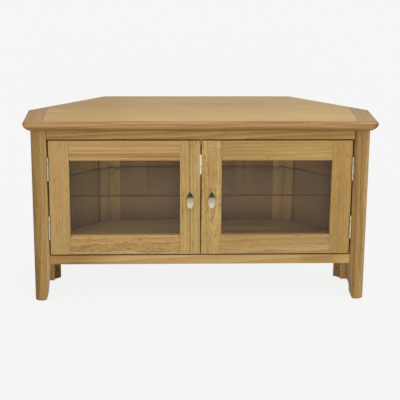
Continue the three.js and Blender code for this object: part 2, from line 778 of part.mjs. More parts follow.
makeTop();
makeFrontLegs();
makeMiddleLegs();
makeRearLegs();
makeSideWalls();
makeAngledWalls();
makeBack();
makeFrontRails();
makeFloor();
makeShelf();
makeDoor("left");
makeDoor("right");
makeCatch();

cabinet.position.y = -cabinetDepth / 2;

export default cabinet;
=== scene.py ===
"""Corner television cabinet in oak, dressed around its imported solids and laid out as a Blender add-on."""

import json
import math

import bmesh
import bpy
from bpy.props import FloatProperty, FloatVectorProperty, PointerProperty
from mathutils import Matrix, Vector

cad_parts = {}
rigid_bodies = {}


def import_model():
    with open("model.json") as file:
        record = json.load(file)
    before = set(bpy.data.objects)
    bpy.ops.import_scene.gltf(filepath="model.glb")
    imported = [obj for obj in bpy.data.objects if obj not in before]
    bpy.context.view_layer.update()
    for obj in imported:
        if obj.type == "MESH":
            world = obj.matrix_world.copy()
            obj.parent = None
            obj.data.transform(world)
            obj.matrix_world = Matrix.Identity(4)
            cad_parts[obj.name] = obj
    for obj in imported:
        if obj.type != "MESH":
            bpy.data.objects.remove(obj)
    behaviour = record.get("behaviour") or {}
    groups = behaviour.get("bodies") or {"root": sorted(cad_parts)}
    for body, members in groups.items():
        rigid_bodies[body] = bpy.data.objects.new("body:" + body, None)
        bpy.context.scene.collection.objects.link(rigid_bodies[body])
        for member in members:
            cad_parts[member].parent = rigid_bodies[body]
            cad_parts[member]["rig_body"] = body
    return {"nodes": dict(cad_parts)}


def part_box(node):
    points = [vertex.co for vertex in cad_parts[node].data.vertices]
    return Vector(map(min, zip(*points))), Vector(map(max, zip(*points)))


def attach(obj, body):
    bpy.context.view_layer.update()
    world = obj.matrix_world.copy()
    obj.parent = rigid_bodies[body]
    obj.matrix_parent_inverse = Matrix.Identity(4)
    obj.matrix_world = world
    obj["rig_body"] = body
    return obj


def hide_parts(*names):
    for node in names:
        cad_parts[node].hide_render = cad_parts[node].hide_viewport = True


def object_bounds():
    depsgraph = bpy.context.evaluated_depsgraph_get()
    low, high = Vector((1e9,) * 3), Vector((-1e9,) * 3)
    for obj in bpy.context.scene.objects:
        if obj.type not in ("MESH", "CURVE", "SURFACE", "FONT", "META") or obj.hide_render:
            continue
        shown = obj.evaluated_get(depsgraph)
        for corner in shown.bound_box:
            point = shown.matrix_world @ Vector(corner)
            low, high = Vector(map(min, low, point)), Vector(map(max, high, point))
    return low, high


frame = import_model()
CAD_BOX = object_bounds()

bl_info = {
    "name": "Corner Television Cabinet",
    "version": (1, 0, 0),
    "blender": (4, 5, 0),
    "location": "View3D > Sidebar > Cabinet",
    "description": "Finishes the oak, glass and metal of a corner television cabinet",
    "category": "Object",
}

MM = 0.001
QUARTER_TURN = math.radians(90)
SIDES = (("left", -1), ("right", 1))
# Corners that turn by less than this are shaded smooth
SMOOTH_ANGLE = math.radians(38)
# Points closer than this are one point, and faces that turn by less than this are one face
SAME_POINT = 0.01 * MM
SAME_FACE = math.radians(0.5)
# Where red, green and blue lie in a hex colour
CHANNELS = (16, 8, 0)


def linear(shade):
    """An sRGB hex colour as linear red, green, blue and alpha."""
    parts = [(shade >> shift & 255) / 255 for shift in CHANNELS]
    return [c / 12.92 if c <= 0.04045 else ((c + 0.055) / 1.055) ** 2.4 for c in parts] + [1.0]


# Modelling by hand

def nothing():
    """Leaves nothing selected, in object mode, so that a new primitive stands alone."""
    if bpy.context.object and bpy.context.object.mode != "OBJECT":
        bpy.ops.object.mode_set(mode="OBJECT")
    bpy.ops.object.select_all(action="DESELECT")


def only(piece):
    """Leaves one piece selected and active, in object mode."""
    nothing()
    piece.select_set(True)
    bpy.context.view_layer.objects.active = piece


def pick(piece, test):
    """In edit mode, selects the edges that pass a test, and says how many."""
    bpy.ops.mesh.select_mode(type="EDGE")
    bpy.ops.mesh.select_all(action="DESELECT")
    mesh = bmesh.from_edit_mesh(piece.data)
    mesh.normal_update()
    chosen = [edge for edge in mesh.edges if test(edge)]
    for edge in chosen:
        edge.select_set(True)
    bmesh.update_edit_mesh(piece.data)
    return len(chosen)


def sharp(degrees):
    """A test for the outward edges of a shape that turn by more than some degrees."""
    least = math.radians(degrees)
    return lambda edge: len(edge.link_faces) == 2 and edge.is_convex and edge.calc_face_angle() > least


def soften(piece, width, degrees=30, segments=2, where=lambda edge: True):
    """Takes the outward corners off a piece and shades it smooth between them."""
    only(piece)
    bpy.ops.object.mode_set(mode="EDIT")
    turned = sharp(degrees)
    if pick(piece, lambda edge: turned(edge) and where(edge)):
        bpy.ops.mesh.bevel(offset=width, offset_type="OFFSET", segments=segments, profile=0.5,
                           affect="EDGES", clamp_overlap=True)
    bpy.ops.object.mode_set(mode="OBJECT")
    bpy.ops.object.shade_smooth_by_angle(angle=SMOOTH_ANGLE)
    return piece


def box_piece(name, low, high):
    """A block between two corners, with its place in its mesh."""
    nothing()
    middle = [(a + b) / 2 for a, b in zip(low, high)]
    bpy.ops.mesh.primitive_cube_add(size=1, location=middle)
    piece = bpy.context.object
    piece.name = name
    piece.scale = [b - a for a, b in zip(low, high)]
    bpy.ops.object.transform_apply(location=True, rotation=True, scale=True)
    return piece


def round_piece(name, radius, length, middle, turn=(0, 0, 0), sides=24):
    """A cylinder about a middle point, with its place in its mesh."""
    nothing()
    bpy.ops.mesh.primitive_cylinder_add(vertices=sides, radius=radius, depth=length, location=middle,
                                        rotation=turn)
    piece = bpy.context.object
    piece.name = name
    bpy.ops.object.transform_apply(location=True, rotation=True, scale=True)
    return piece


def merge(name, pieces):
    """Several shells as one piece under one name."""
    only(pieces[0])
    for piece in pieces:
        piece.select_set(True)
    bpy.ops.object.join()
    pieces[0].name = name
    return pieces[0]


def copy_of(node, name):
    """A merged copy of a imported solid, with its flat faces whole."""
    mesh = frame["nodes"][node].data.copy()
    piece = bpy.data.objects.new(name, mesh)
    bpy.context.scene.collection.objects.link(piece)
    piece.data.materials.clear()
    only(piece)
    bpy.ops.mesh.customdata_custom_splitnormals_clear()
    bpy.ops.object.mode_set(mode="EDIT")
    bpy.ops.mesh.select_all(action="SELECT")
    bpy.ops.mesh.remove_doubles(threshold=SAME_POINT)
    bpy.ops.mesh.dissolve_limited(angle_limit=SAME_FACE)
    bpy.ops.object.mode_set(mode="OBJECT")
    return piece


def finish(piece, body, look, slot, *nodes):
    """Gives a piece its finish and its body, and hides the solids that it stands for."""
    piece.data.materials.clear()
    for one in look if isinstance(look, (list, tuple)) else [look]:
        piece.data.materials.append(one)
    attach(piece, body)
    if nodes:
        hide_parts(*nodes)
    return piece


# Materials

def add(tree, kind, inputs=(), stops=(), **settings):
    """Adds a node: settings go on the node, inputs are values or sockets by name or number, and the
    stops of a ramp are places with their hex colours."""
    made = tree.nodes.new(kind)
    for key, value in settings.items():
        setattr(made, key, value)
    for key, value in dict(inputs).items():
        socket = made.inputs[key]
        if isinstance(value, bpy.types.NodeSocket):
            tree.links.new(value, socket)
        else:
            socket.default_value = value
    while stops and len(made.color_ramp.elements) < len(stops):
        made.color_ramp.elements.new(0.5)
    for number, (place, shade) in enumerate(stops):
        made.color_ramp.elements[number].position = place
        made.color_ramp.elements[number].color = linear(shade)
    return made


def maths(tree, operation, *values):
    """The result of a sum on numbers and sockets."""
    return add(tree, "ShaderNodeMath", dict(enumerate(values)), operation=operation).outputs[0]


def noise(tree, place, size, detail, **more):
    """Noise with spots of about a size."""
    return add(tree, "ShaderNodeTexNoise", {
        "Vector": place, "Scale": 1 / size, "Detail": detail, **more}).outputs["Fac"]


def new_material(name):
    """An empty material, its node tree and the place of each point on its object."""
    material = bpy.data.materials.new(name)
    material.use_nodes = True
    tree = material.node_tree
    tree.nodes.clear()
    return material, tree, add(tree, "ShaderNodeTexCoord").outputs["Object"]


def surfaced(material, shader):
    """The material, with a shader on its surface."""
    add(material.node_tree, "ShaderNodeOutputMaterial", {"Surface": shader.outputs[0]})
    return material


def varied(tone, *shares):
    """A tone with its red, green and blue scaled: as one board differs from the next, and on some boards as
    painted light and painted shade.
    """
    def scaled(shade):
        return sum(min(255, round((shade >> shift & 255) * share)) << shift
                   for shift, share in zip(CHANNELS, shares))
    return [scaled(shade) for shade in tone]


# Turns that bring the grain of a board onto the X axis of its pattern
GRAIN = {"x": (0, 0, 0), "y": (0, 0, -90), "z": (0, 90, 0), "left": (0, 0, -45), "right": (0, 0, -135)}
# Boards that lie flat, so that the Y axis of their pattern runs across them
FLAT = {"top_centre_board", "top_end_board_left", "top_end_board_right", "top_front_lipping", "floor_panel"}

# Widths in the oak's pattern. Fibres, pores and strokes are drawn about ten times coarser than life, so that
# they show from across a room.
FIBRE = 3.2 * MM
PORE = 1.7 * MM
STROKE = 3.4 * MM
DRIFT = 45 * MM
# How short each pattern is drawn along the grain, so that it comes out that much longer
GROWTH_RUN = (0.125, 1, 1)
FIBRE_RUN = (0.03, 1, 1)
PORE_RUN = (0.07, 1, 1)
STROKE_RUN = (0.12, 1, 1)
# A wave texture repeats itself after this length divided by its scale
WAVE = 0.314
# How far the pattern may move from one glued stave to the next, and from one seed to the next along the grain
STAVE_JUMP = (1.9, 0.13, 0.11)
SEED_JUMP = 1.7
DRIFT_SHARE = 0.3
# How much of a board's lean away from the tree is also to its side
LEAN_ASIDE = 0.6
# How much of a streak's width sways with the drift to either side, and how much of it each edge fades over
SWAY = 0.5
FADE = 0.3
# Where the pale, middle and brown tones lie in the sum of the patterns
TONE_PLACES = (0.18, 0.48, 0.92)


def oak(name, node, grain, tone, pith=(30, 90), ring=7, rings=0.34, fibre=0.3, pore=0.22, fleck=0.0,
        stave=0, glue=0.16, lean=9.0, seed=1.0, satin=0.46, lacquer=0.3, streaks=()):
    """Solid oak, sawn, sanded and satin lacquered. The eye gets growth rings that run out along the board,
    fine fibres, short brown pores and a soft sheen. Sizes are in millimetres: pith is how far the heart of
    the tree lies beside and behind the board, ring is one year's growth and stave the width of a glued
    strip. Lean is how many degrees the board turns away from the tree, satin its roughness and lacquer how
    well it mirrors. A streak has its axis, its start and end there, and its depth; on some boards it is
    darker heartwood, on others painted light and painted shade."""
    material, tree, place = new_material(name)
    turns = [math.radians(angle) for angle in GRAIN[grain]]
    turn = Matrix.Rotation(turns[1], 3, "Y") @ Matrix.Rotation(turns[2], 3, "Z")
    low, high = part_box(node)
    middle = turn @ ((low + high) / 2)
    along = add(tree, "ShaderNodeMapping", {
        "Vector": place, "Location": -middle, "Rotation": turns}).outputs["Vector"]
    if stave:
        parts = add(tree, "ShaderNodeSeparateXYZ", {"Vector": along})
        across = parts.outputs["Y" if node in FLAT else "Z"]
        number = maths(tree, "FLOOR", maths(tree, "MULTIPLY", across, 1 / (stave * MM)))
        chance = add(tree, "ShaderNodeTexWhiteNoise", {"W": number}, noise_dimensions="1D")
        jump = add(tree, "ShaderNodeVectorMath", {0: chance.outputs["Color"], 1: STAVE_JUMP},
                   operation="MULTIPLY")
        along = add(tree, "ShaderNodeVectorMath", {0: along, 1: jump.outputs[0]}, operation="ADD").outputs[0]
    ahead, aside, behind = seed * SEED_JUMP, pith[0] * MM, pith[1] * MM
    shifted = add(tree, "ShaderNodeMapping", {
        "Vector": along, "Scale": GROWTH_RUN,
        "Location": (ahead, aside, -behind) if node in FLAT else (ahead, -behind, aside),
        "Rotation": (0, math.radians(lean), math.radians(lean * LEAN_ASIDE))}).outputs["Vector"]
    growth = add(tree, "ShaderNodeTexWave", {
        "Vector": shifted, "Scale": WAVE / (ring * MM), "Distortion": 5.5, "Detail": 3.0,
        "Detail Scale": 0.35, "Detail Roughness": 0.55},
        wave_type="RINGS", rings_direction="X", wave_profile="SAW")
    thin = add(tree, "ShaderNodeMapping", {
        "Vector": along, "Scale": FIBRE_RUN, "Location": (seed, seed, seed)})
    fibres = noise(tree, thin.outputs["Vector"], FIBRE, 3.0, Roughness=0.6)
    dashes = add(tree, "ShaderNodeMapping", {
        "Vector": along, "Scale": PORE_RUN, "Location": (seed, 2 * seed, 0)})
    pores = noise(tree, dashes.outputs["Vector"], PORE, 1.5)
    holes = add(tree, "ShaderNodeMapRange", {"Value": pores, "From Min": 0.58, "From Max": 0.70})
    drift = noise(tree, shifted, DRIFT, 1.0)
    total = maths(tree, "MULTIPLY", growth.outputs["Fac"], rings)
    for value, share in ((fibres, fibre), (holes.outputs["Result"], pore), (drift, DRIFT_SHARE)):
        total = maths(tree, "ADD", total, maths(tree, "MULTIPLY", value, share))
    if fleck:
        # Wavy figure where the fibres dive in and out of the face
        rough = add(tree, "ShaderNodeMapping", {
            "Vector": along, "Scale": STROKE_RUN, "Location": (seed, 0, seed)})
        waves = noise(tree, rough.outputs["Vector"], STROKE, 2.0, Distortion=2.2)
        strokes = add(tree, "ShaderNodeMapRange", {
            "Value": waves, "From Min": 0.52, "From Max": 0.68, "To Max": fleck})
        total = maths(tree, "ADD", total, strokes.outputs["Result"])
    if stave:
        total = maths(tree, "ADD", total, maths(tree, "MULTIPLY", chance.outputs["Value"], glue))
    for axis, start, end, depth in streaks:
        width = (end - start) * MM
        parts = add(tree, "ShaderNodeSeparateXYZ", {"Vector": place})
        sway = add(tree, "ShaderNodeMapRange", {
            "Value": drift, "To Min": -SWAY * width, "To Max": SWAY * width})
        spot = maths(tree, "ADD", parts.outputs[axis], sway.outputs["Result"])
        rise = add(tree, "ShaderNodeMapRange", {
            "Value": spot, "From Min": start * MM, "From Max": start * MM + FADE * width, "To Max": depth},
            interpolation_type="SMOOTHSTEP")
        fall = add(tree, "ShaderNodeMapRange", {
            "Value": spot, "From Min": end * MM - FADE * width, "From Max": end * MM, "To Min": 1.0,
            "To Max": 0.0}, interpolation_type="SMOOTHSTEP")
        part = maths(tree, "MULTIPLY", rise.outputs["Result"], fall.outputs["Result"])
        total = maths(tree, "ADD", total, part)
    colour = add(tree, "ShaderNodeValToRGB", {"Fac": total}, list(zip(TONE_PLACES, tone)))
    sheen = add(tree, "ShaderNodeMapRange", {
        "Value": total, "From Min": 0.2, "From Max": 0.9, "To Min": satin - 0.05, "To Max": satin + 0.12})
    relief = add(tree, "ShaderNodeBump", {"Height": total, "Strength": 0.12, "Distance": 0.3 * MM},
                 invert=True)
    shader = add(tree, "ShaderNodeBsdfPrincipled", {
        "Base Color": colour.outputs["Color"], "Roughness": sheen.outputs["Result"],
        "Normal": relief.outputs["Normal"], "IOR": 1.5, "Specular IOR Level": lacquer})
    return surfaced(material, shader)


def painted_shade_oak(name, shade):
    """Painted shade for oak inside a bore or recess: a dull, dark, speckled surface that stands in for the
    shade that falls there."""
    material, tree, place = new_material(name)
    specks = noise(tree, place, 1.2 * MM, 3.0)
    colour = add(tree, "ShaderNodeValToRGB", {"Fac": specks}, [(0.3, shade - 0x140E08), (0.7, shade)])
    relief = add(tree, "ShaderNodeBump", {"Height": specks, "Strength": 0.3, "Distance": 0.3 * MM})
    return surfaced(material, add(tree, "ShaderNodeBsdfPrincipled", {
        "Base Color": colour.outputs["Color"], "Roughness": 0.85, "IOR": 1.5, "Specular IOR Level": 0.05,
        "Normal": relief.outputs["Normal"]}))


# How short the brushing is drawn along Z, and how much darker its lines are than the metal between them
BRUSH_RUN = (1, 1, 0.06)
BRUSH_SHADE = 0.9


def metal(name, colour, rough, brushed):
    """Plated metal of a linear colour. The eye gets a soft reflection that is drawn out along fine
    brushing, whose lines are as many millimetres apart as brushed says."""
    material, tree, place = new_material(name)
    lines = add(tree, "ShaderNodeMapping", {"Vector": place, "Scale": BRUSH_RUN})
    grit = noise(tree, lines.outputs["Vector"], brushed * MM, 2.0)
    rub = add(tree, "ShaderNodeMapRange", {
        "Value": grit, "From Min": 0.3, "From Max": 0.7, "To Min": rough - 0.05, "To Max": rough + 0.08})
    relief = add(tree, "ShaderNodeBump", {"Height": grit, "Strength": 0.08, "Distance": 0.05 * MM})
    tint = add(tree, "ShaderNodeMix", {
        "Factor": grit, "A": colour, "B": [part * BRUSH_SHADE for part in colour[:3]] + [1]},
        data_type="RGBA")
    return surfaced(material, add(tree, "ShaderNodeBsdfPrincipled", {
        "Base Color": tint.outputs["Result"], "Metallic": 1.0, "Roughness": rub.outputs["Result"],
        "Normal": relief.outputs["Normal"]}))


# Share of the light that glass mirrors when it meets it square
MIRRORED = 0.04


def pane_glass(name, tint, shine):
    """Thin float glass. What lies behind it shows through a faint tint, under a weak reflection."""
    material, tree, place = new_material(name)
    ripple = noise(tree, place, 90 * MM, 1.0)
    relief = add(tree, "ShaderNodeBump", {"Height": ripple, "Strength": 0.02, "Distance": 1 * MM})
    clear = add(tree, "ShaderNodeBsdfTransparent", {"Color": linear(tint)})
    gloss = add(tree, "ShaderNodeBsdfGlossy", {
        "Color": (1, 1, 1, 1), "Roughness": 0.02, "Normal": relief.outputs["Normal"]})
    # At a graze all of the light is mirrored, alike on both faces of the sheet
    slant = add(tree, "ShaderNodeLayerWeight", {"Blend": 0.5})
    steep = maths(tree, "POWER", slant.outputs["Facing"], 5.0)
    weak = maths(tree, "MULTIPLY_ADD", steep, (1 - MIRRORED) * shine, MIRRORED * shine)
    return surfaced(material, add(tree, "ShaderNodeMixShader", {
        "Fac": weak, 1: clear.outputs[0], 2: gloss.outputs[0]}))


def ground_edge(name, shade, clear):
    """The ground edge of a glass sheet, where light is trapped and the green of the glass shows. A share
    of what lies behind it still comes through."""
    material, tree, place = new_material(name)
    frost = noise(tree, place, 6 * MM, 2.0)
    colour = add(tree, "ShaderNodeValToRGB", {"Fac": frost}, [(0.3, shade), (0.7, shade + 0x0A0E0A)])
    shader = add(tree, "ShaderNodeBsdfPrincipled", {
        "Base Color": colour.outputs["Color"], "Roughness": 0.55, "IOR": 1.35})
    through = add(tree, "ShaderNodeBsdfTransparent", {"Color": linear(0xE6EAE2)})
    return surfaced(material, add(tree, "ShaderNodeMixShader", {
        "Fac": clear, 1: shader.outputs[0], 2: through.outputs[0]}))


def moulded_plastic(name, shade):
    """Injection moulded ABS. The eye gets an even, slightly clouded shade under a dull sheen."""
    material, tree, place = new_material(name)
    cloud = noise(tree, place, 3 * MM, 3.0)
    colour = add(tree, "ShaderNodeValToRGB", {"Fac": cloud}, [(0.3, shade - 0x0A0A0A), (0.7, shade)])
    return surfaced(material, add(tree, "ShaderNodeBsdfPrincipled", {
        "Base Color": colour.outputs["Color"], "Roughness": 0.5, "IOR": 1.46}))


# Tones of the oak: pale, middle and brown, and the one dark tone of painted shade in its bores and recesses
TOP = (0xDBBA80, 0xC9A268, 0xA2773F)
LIPPING = (0xC9A369, 0xA47B4A, 0x7C4F27)
END = (0xCEAC80, 0xBB9160, 0x967043)
DOOR = (0xCBAD72, 0xB68F58, 0x875B2B)
POST = (0xC09E66, 0xAA874C, 0x7E562B)
# The front top rail is darker than the doors: partly its own tone, partly painted shade under the top's
# overhang
RAIL = (0xC09C62, 0xAB844A, 0x825B2E)
FOOT_RAIL = (0xC8AA74, 0xB59259, 0x8A6434)
WALL = (0xC8AC7C, 0xB6955F, 0x8A6437)
# Painted shade inside the hinge recesses and screw bores
RECESS_PAINTED_SHADE = 0x5A3E20
# Pale tone of the middle legs, which is painted light for the light that reaches them under the cabinet
SHOULDER_PAINTED_LIGHT = (0xE2C48A, 0xD6AE70, 0xA67C44)
INNER_RAIL = (0xB89D6C, 0xA48553, 0x7A5A2F)
INNER_POST = (0xC8A56E, 0xB89159, 0x8E6837)
# Darker than the outer oak, which is painted shade for the inside of the cupboard
BOARD = (0xAB8458, 0x9B744A, 0x76522E)
# Paler than the other panels, which is painted light on the cupboard's floor
FLOOR = (0xEAD4A4, 0xDCC08C, 0xB0905C)


class CabinetSizes(bpy.types.PropertyGroup):
    """Sizes of the small details that the scene adds."""
    easing: FloatProperty(name="Eased edge", description="Width taken off the edges of the boards",
                          default=0.7 * MM, unit="LENGTH")
    post_easing: FloatProperty(name="Post edge", description="Rounding of the posts' long edges",
                               default=1.3 * MM, unit="LENGTH")
    knob_width: FloatProperty(name="Knob width", description="Widest part of a knob, before it is rounded",
                              default=24.4 * MM, unit="LENGTH")
    knob_height: FloatProperty(name="Knob height", description="From the knob's foot to its tip",
                               default=49 * MM, unit="LENGTH")
    screw_head: FloatProperty(name="Screw head", description="Across the head of a hinge screw",
                              default=6.4 * MM, unit="LENGTH")


class CabinetColours(bpy.types.PropertyGroup):
    """Colours of the knobs and the studio floor."""
    nickel: FloatVectorProperty(name="Nickel", description="Satin nickel of the knobs", subtype="COLOR",
                                size=4, default=linear(0xE7DBBA))
    floor: FloatVectorProperty(name="Floor", description="Studio floor as the camera sees it",
                               subtype="COLOR", size=4, default=linear(0xF7F7F7))


# Widths taken off the edges of the finer members
TOP_EASING = 0.5 * MM
DOOR_EASING = FLOOR_EASING = 0.4 * MM
PANEL_EASING = 0.3 * MM


def board(node, look, slot, easing=None, degrees=30, segments=2):
    """One wooden member: a copy of its solid with every outward edge eased."""
    sizes = bpy.context.scene.cabinet_sizes
    piece = copy_of(node, "oak_" + node)
    soften(piece, sizes.easing if easing is None else easing, degrees, segments)
    return finish(piece, frame["nodes"][node]["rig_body"], look, slot, node)


# How far the doors stand behind the front of the top
FRAME_SETBACK = 21 * MM
# A hinge recess that gets painted shade, measured from the hinge: how far to either side, above and below,
# and behind. The eased edges at its front keep the finish of the board.
RECESS_ASIDE = 7 * MM
RECESS_ABOVE = 3 * MM
RECESS_BEHIND = 12 * MM
RECESS_FRONT = 0.4 * MM


def paint_recess_shade(piece, side):
    """Gives the faces of the hinge recesses in a leg or a door stile the piece's second finish, which is
    painted shade.
    """
    for place in ("lower", "upper"):
        low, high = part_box("hinge_" + side + "_" + place + "_leg_leaf")
        door_low, door_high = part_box("hinge_" + side + "_" + place + "_door_leaf")
        axis = abs(low.x + high.x + door_low.x + door_high.x) / 4
        front = CAD_BOX[0][1] + FRAME_SETBACK + RECESS_FRONT
        for face in piece.data.polygons:
            spot = face.center
            if (abs(abs(spot.x) - axis) < RECESS_ASIDE
                    and low.z - RECESS_ABOVE < spot.z < high.z + RECESS_ABOVE
                    and front < spot.y < low.y + RECESS_BEHIND):
                face.material_index = 1


# Limits within which a screw bore is found: the area of its floor, its depth and its radius
BORE_FLOOR = 60 * MM * MM
BORE_DEPTH = 3.4 * MM
BORE_RADIUS = 3.3 * MM


def paint_bore_shade(piece, facing):
    """Gives a blind screw bore the piece's second finish, which is painted shade. Its floor is the one small
    face that faces the same way as the board."""
    faces = piece.data.polygons
    floor = next(face for face in faces if face.normal.dot(facing) > 0.99 and face.area < BORE_FLOOR)
    for face in faces:
        away = face.center - floor.center
        depth = away.dot(facing)
        if depth < BORE_DEPTH and (away - facing * depth).length < BORE_RADIUS:
            face.material_index = 1


class OBJECT_OT_cabinet_top(bpy.types.Operator):
    """Centre board of glued staves, breadboard ends and the moulded front lipping"""
    bl_idname = "object.cabinet_top"
    bl_label = "Top boards"

    def execute(self, context):
        # The centre board is darker towards its left end and paler towards its right: painted shade and
        # painted light, as the light falls from the right
        board("top_centre_board", oak(
            "oak_top_staves", "top_centre_board", "x", TOP, pith=(60, 150), ring=9, rings=0.07, fibre=0.16,
            pore=0.05, stave=95, glue=0.07, seed=0.3,
            streaks=[(0, -560, -200, 0.12), (0, 200, 560, -0.06)]), "oak_board", TOP_EASING)
        # The brown band low on the lipping, on the underside of its moulding, is painted shade; paler bands
        # run along the nose above it, and both ends are darker
        board("top_front_lipping", oak(
            "oak_top_lipping", "top_front_lipping", "x", LIPPING, pith=(12, 26), ring=8, rings=0.3,
            fibre=0.28, pore=0.12, lean=14, seed=2.2,
            streaks=[(2, 576, 592, -0.38), (2, 559, 574, -0.14), (2, 520, 571, 0.15),
                     (0, -560, -530, 0.25), (0, 530, 560, 0.25)]), "oak_board", TOP_EASING)
        # The left end board's darker cast is painted shade and the right one's paler cast painted light
        for side, seed, cast in (("left", 3.1, (0.97, 0.95, 0.94)), ("right", 4.7, (1.0, 1.01, 1.01))):
            node = "top_end_board_" + side
            board(node, oak(
                "oak_top_end_" + side, node, "y", varied(END, *cast), pith=(20, 90), ring=9, rings=0.14,
                fibre=0.3, pore=0.08, lean=4, seed=seed), "oak_board", TOP_EASING)
        return {"FINISHED"}


LEG_CASTS = {"left": (0.955, 0.96, 0.97), "right": (0.955, 0.945, 0.955)}
# The left leg is darker outside and paler inside, and the right one the other way round
LEG_STREAKS = {
    "left": [(0, -560, -490, 0.24), (0, -492, -436, -0.22)],
    "right": [(0, 460, 492, 0.2), (0, 506, 530, -0.3)],
}


class OBJECT_OT_cabinet_legs(bpy.types.Operator):
    """Front, middle and rear legs"""
    bl_idname = "object.cabinet_legs"
    bl_label = "Legs"

    def execute(self, context):
        easing = context.scene.cabinet_sizes.post_easing
        # The hinge recesses in the legs get painted shade
        recess = painted_shade_oak("oak_leg_recess_painted_shade", RECESS_PAINTED_SHADE)
        for side, sign in SIDES:
            node = "front_leg_" + side
            look = oak(
                "oak_" + node, node, "z", varied(POST, *LEG_CASTS[side]), pith=(18 * sign, 46), ring=6,
                rings=0.24, fibre=0.4, pore=0.28, lean=5, seed=5.3 + sign, streaks=LEG_STREAKS[side])
            post = board(node, [look, recess], "oak_post", easing, degrees=25, segments=3)
            paint_recess_shade(post, side)
            # The middle leg's pale tone is painted light
            node = "middle_leg_" + side
            board(node, oak(
                "oak_" + node, node, "z", SHOULDER_PAINTED_LIGHT, pith=(40, 60), ring=6, rings=0.2, seed=7.7 + sign),
                "oak_post")
            node = "rear_leg_" + side
            board(node, oak(
                "oak_" + node, node, "z", INNER_POST, pith=(25, 80), ring=6, rings=0.15, seed=9.1 + sign),
                "oak_post")
        return {"FINISHED"}


class OBJECT_OT_cabinet_front_rails(bpy.types.Operator):
    """Rails above and below the doors"""
    bl_idname = "object.cabinet_front_rails"
    bl_label = "Front rails"

    def execute(self, context):
        board("front_top_rail", oak(
            "oak_front_top_rail", "front_top_rail", "x", RAIL, pith=(30, 60), ring=6, rings=0.4,
            seed=11.3), "oak_post")
        # Two lengths of timber are joined here, and the left one is heartwood
        board("front_bottom_rail", oak(
            "oak_front_bottom_rail", "front_bottom_rail", "x", FOOT_RAIL, pith=(45, 120), ring=9,
            rings=0.24, fibre=0.22, pore=0.12, seed=12.9,
            streaks=[(0, -560, -250, 0.3), (0, 300, 430, 0.2)]), "oak_post")
        return {"FINISHED"}


class OBJECT_OT_cabinet_side_walls(bpy.types.Operator):
    """Rails and grooved panels of the straight sides"""
    bl_idname = "object.cabinet_side_walls"
    bl_label = "Side walls"

    def execute(self, context):
        for side, sign in SIDES:
            for part, seed in (("side_top_rail_", 13.1), ("side_bottom_rail_", 14.6)):
                node = part + side
                board(node, oak(
                    "oak_" + node, node, "y", WALL, pith=(30, 90), seed=seed + sign), "oak_wall")
            node = "side_panel_" + side
            board(node, oak(
                "oak_" + node, node, "z", WALL, pith=(46, 8), ring=10, rings=0.2, fibre=0.26, pore=0.14,
                lean=14, seed=16.2 + sign), "oak_wall", PANEL_EASING)
        return {"FINISHED"}


# How many millimetres the angled panels reach into their grooves, as seen along the cabinet, and how far the
# line of painted shade beside a groove reaches in front of and behind its edge
GROOVE = 5.7
SHADE_LINE_FRONT = 2
SHADE_LINE_BEHIND = 4
# Painted shade on the angled front stiles, for the shade they stand in under the cabinet
STILE_PAINTED_SHADE_CASTS = {"left": (0.7, 0.64, 0.5), "right": (0.92, 0.85, 0.86)}
PANEL_CASTS = {"left": (1.06, 1.12, 1.06), "right": (1.03, 1.07, 1.02)}


class OBJECT_OT_cabinet_angled_walls(bpy.types.Operator):
    """Stiles, rails and panels of the two angled walls"""
    bl_idname = "object.cabinet_angled_walls"
    bl_label = "Angled walls"

    def execute(self, context):
        # The screw bores in the front stiles get painted shade
        bore = painted_shade_oak("oak_screw_bore_painted_shade", RECESS_PAINTED_SHADE)
        for side, sign in SIDES:
            # The front stile is darkened with painted shade, deeper on the left, and is hardly lacquered; the
            # rear one is of sapwood
            node = "angled_front_stile_" + side
            look = oak(
                "oak_" + node, node, "z", varied(WALL, *STILE_PAINTED_SHADE_CASTS[side]), pith=(35, 80), ring=6,
                rings=0.2, seed=17.4 + sign, satin=0.7, lacquer=0.06)
            paint_bore_shade(board(node, [look, bore], "oak_wall"), Vector((-sign, -1, 0)).normalized())
            node = "angled_rear_stile_" + side
            board(node, oak(
                "oak_" + node, node, "z", varied(INNER_POST, 1.04, 1.05, 1.03), pith=(35, 80), ring=6,
                rings=0.2, seed=18.8 + sign), "oak_wall")
            for part, seed in (("angled_top_rail_", 20.5), ("angled_bottom_rail_", 21.9)):
                node = part + side
                board(node, oak(
                    "oak_" + node, node, side, INNER_RAIL, pith=(30, 90), rings=0.2, seed=seed + sign),
                    "oak_wall")
            node = "angled_panel_" + side
            # Painted shade darkens the line where the panel enters the groove of the rear stile
            mesh = frame["nodes"][node].data
            inner = [mesh.vertices[corner].co.x for face in mesh.polygons if face.normal.y < -0.6
                     for corner in face.vertices]
            edge = min(abs(x) for x in inner) / MM + GROOVE
            line = sorted((sign * (edge - SHADE_LINE_FRONT), sign * (edge + SHADE_LINE_BEHIND)))
            board(node, oak(
                "oak_" + node, node, "z", varied(BOARD, *PANEL_CASTS[side]), pith=(20, 50), ring=12,
                rings=0.1, fibre=0.16, pore=0.08, stave=120, glue=0.08, lean=12, seed=23.3 + sign,
                streaks=[(0, *line, 0.5)]), "back_board", PANEL_EASING)
        return {"FINISHED"}


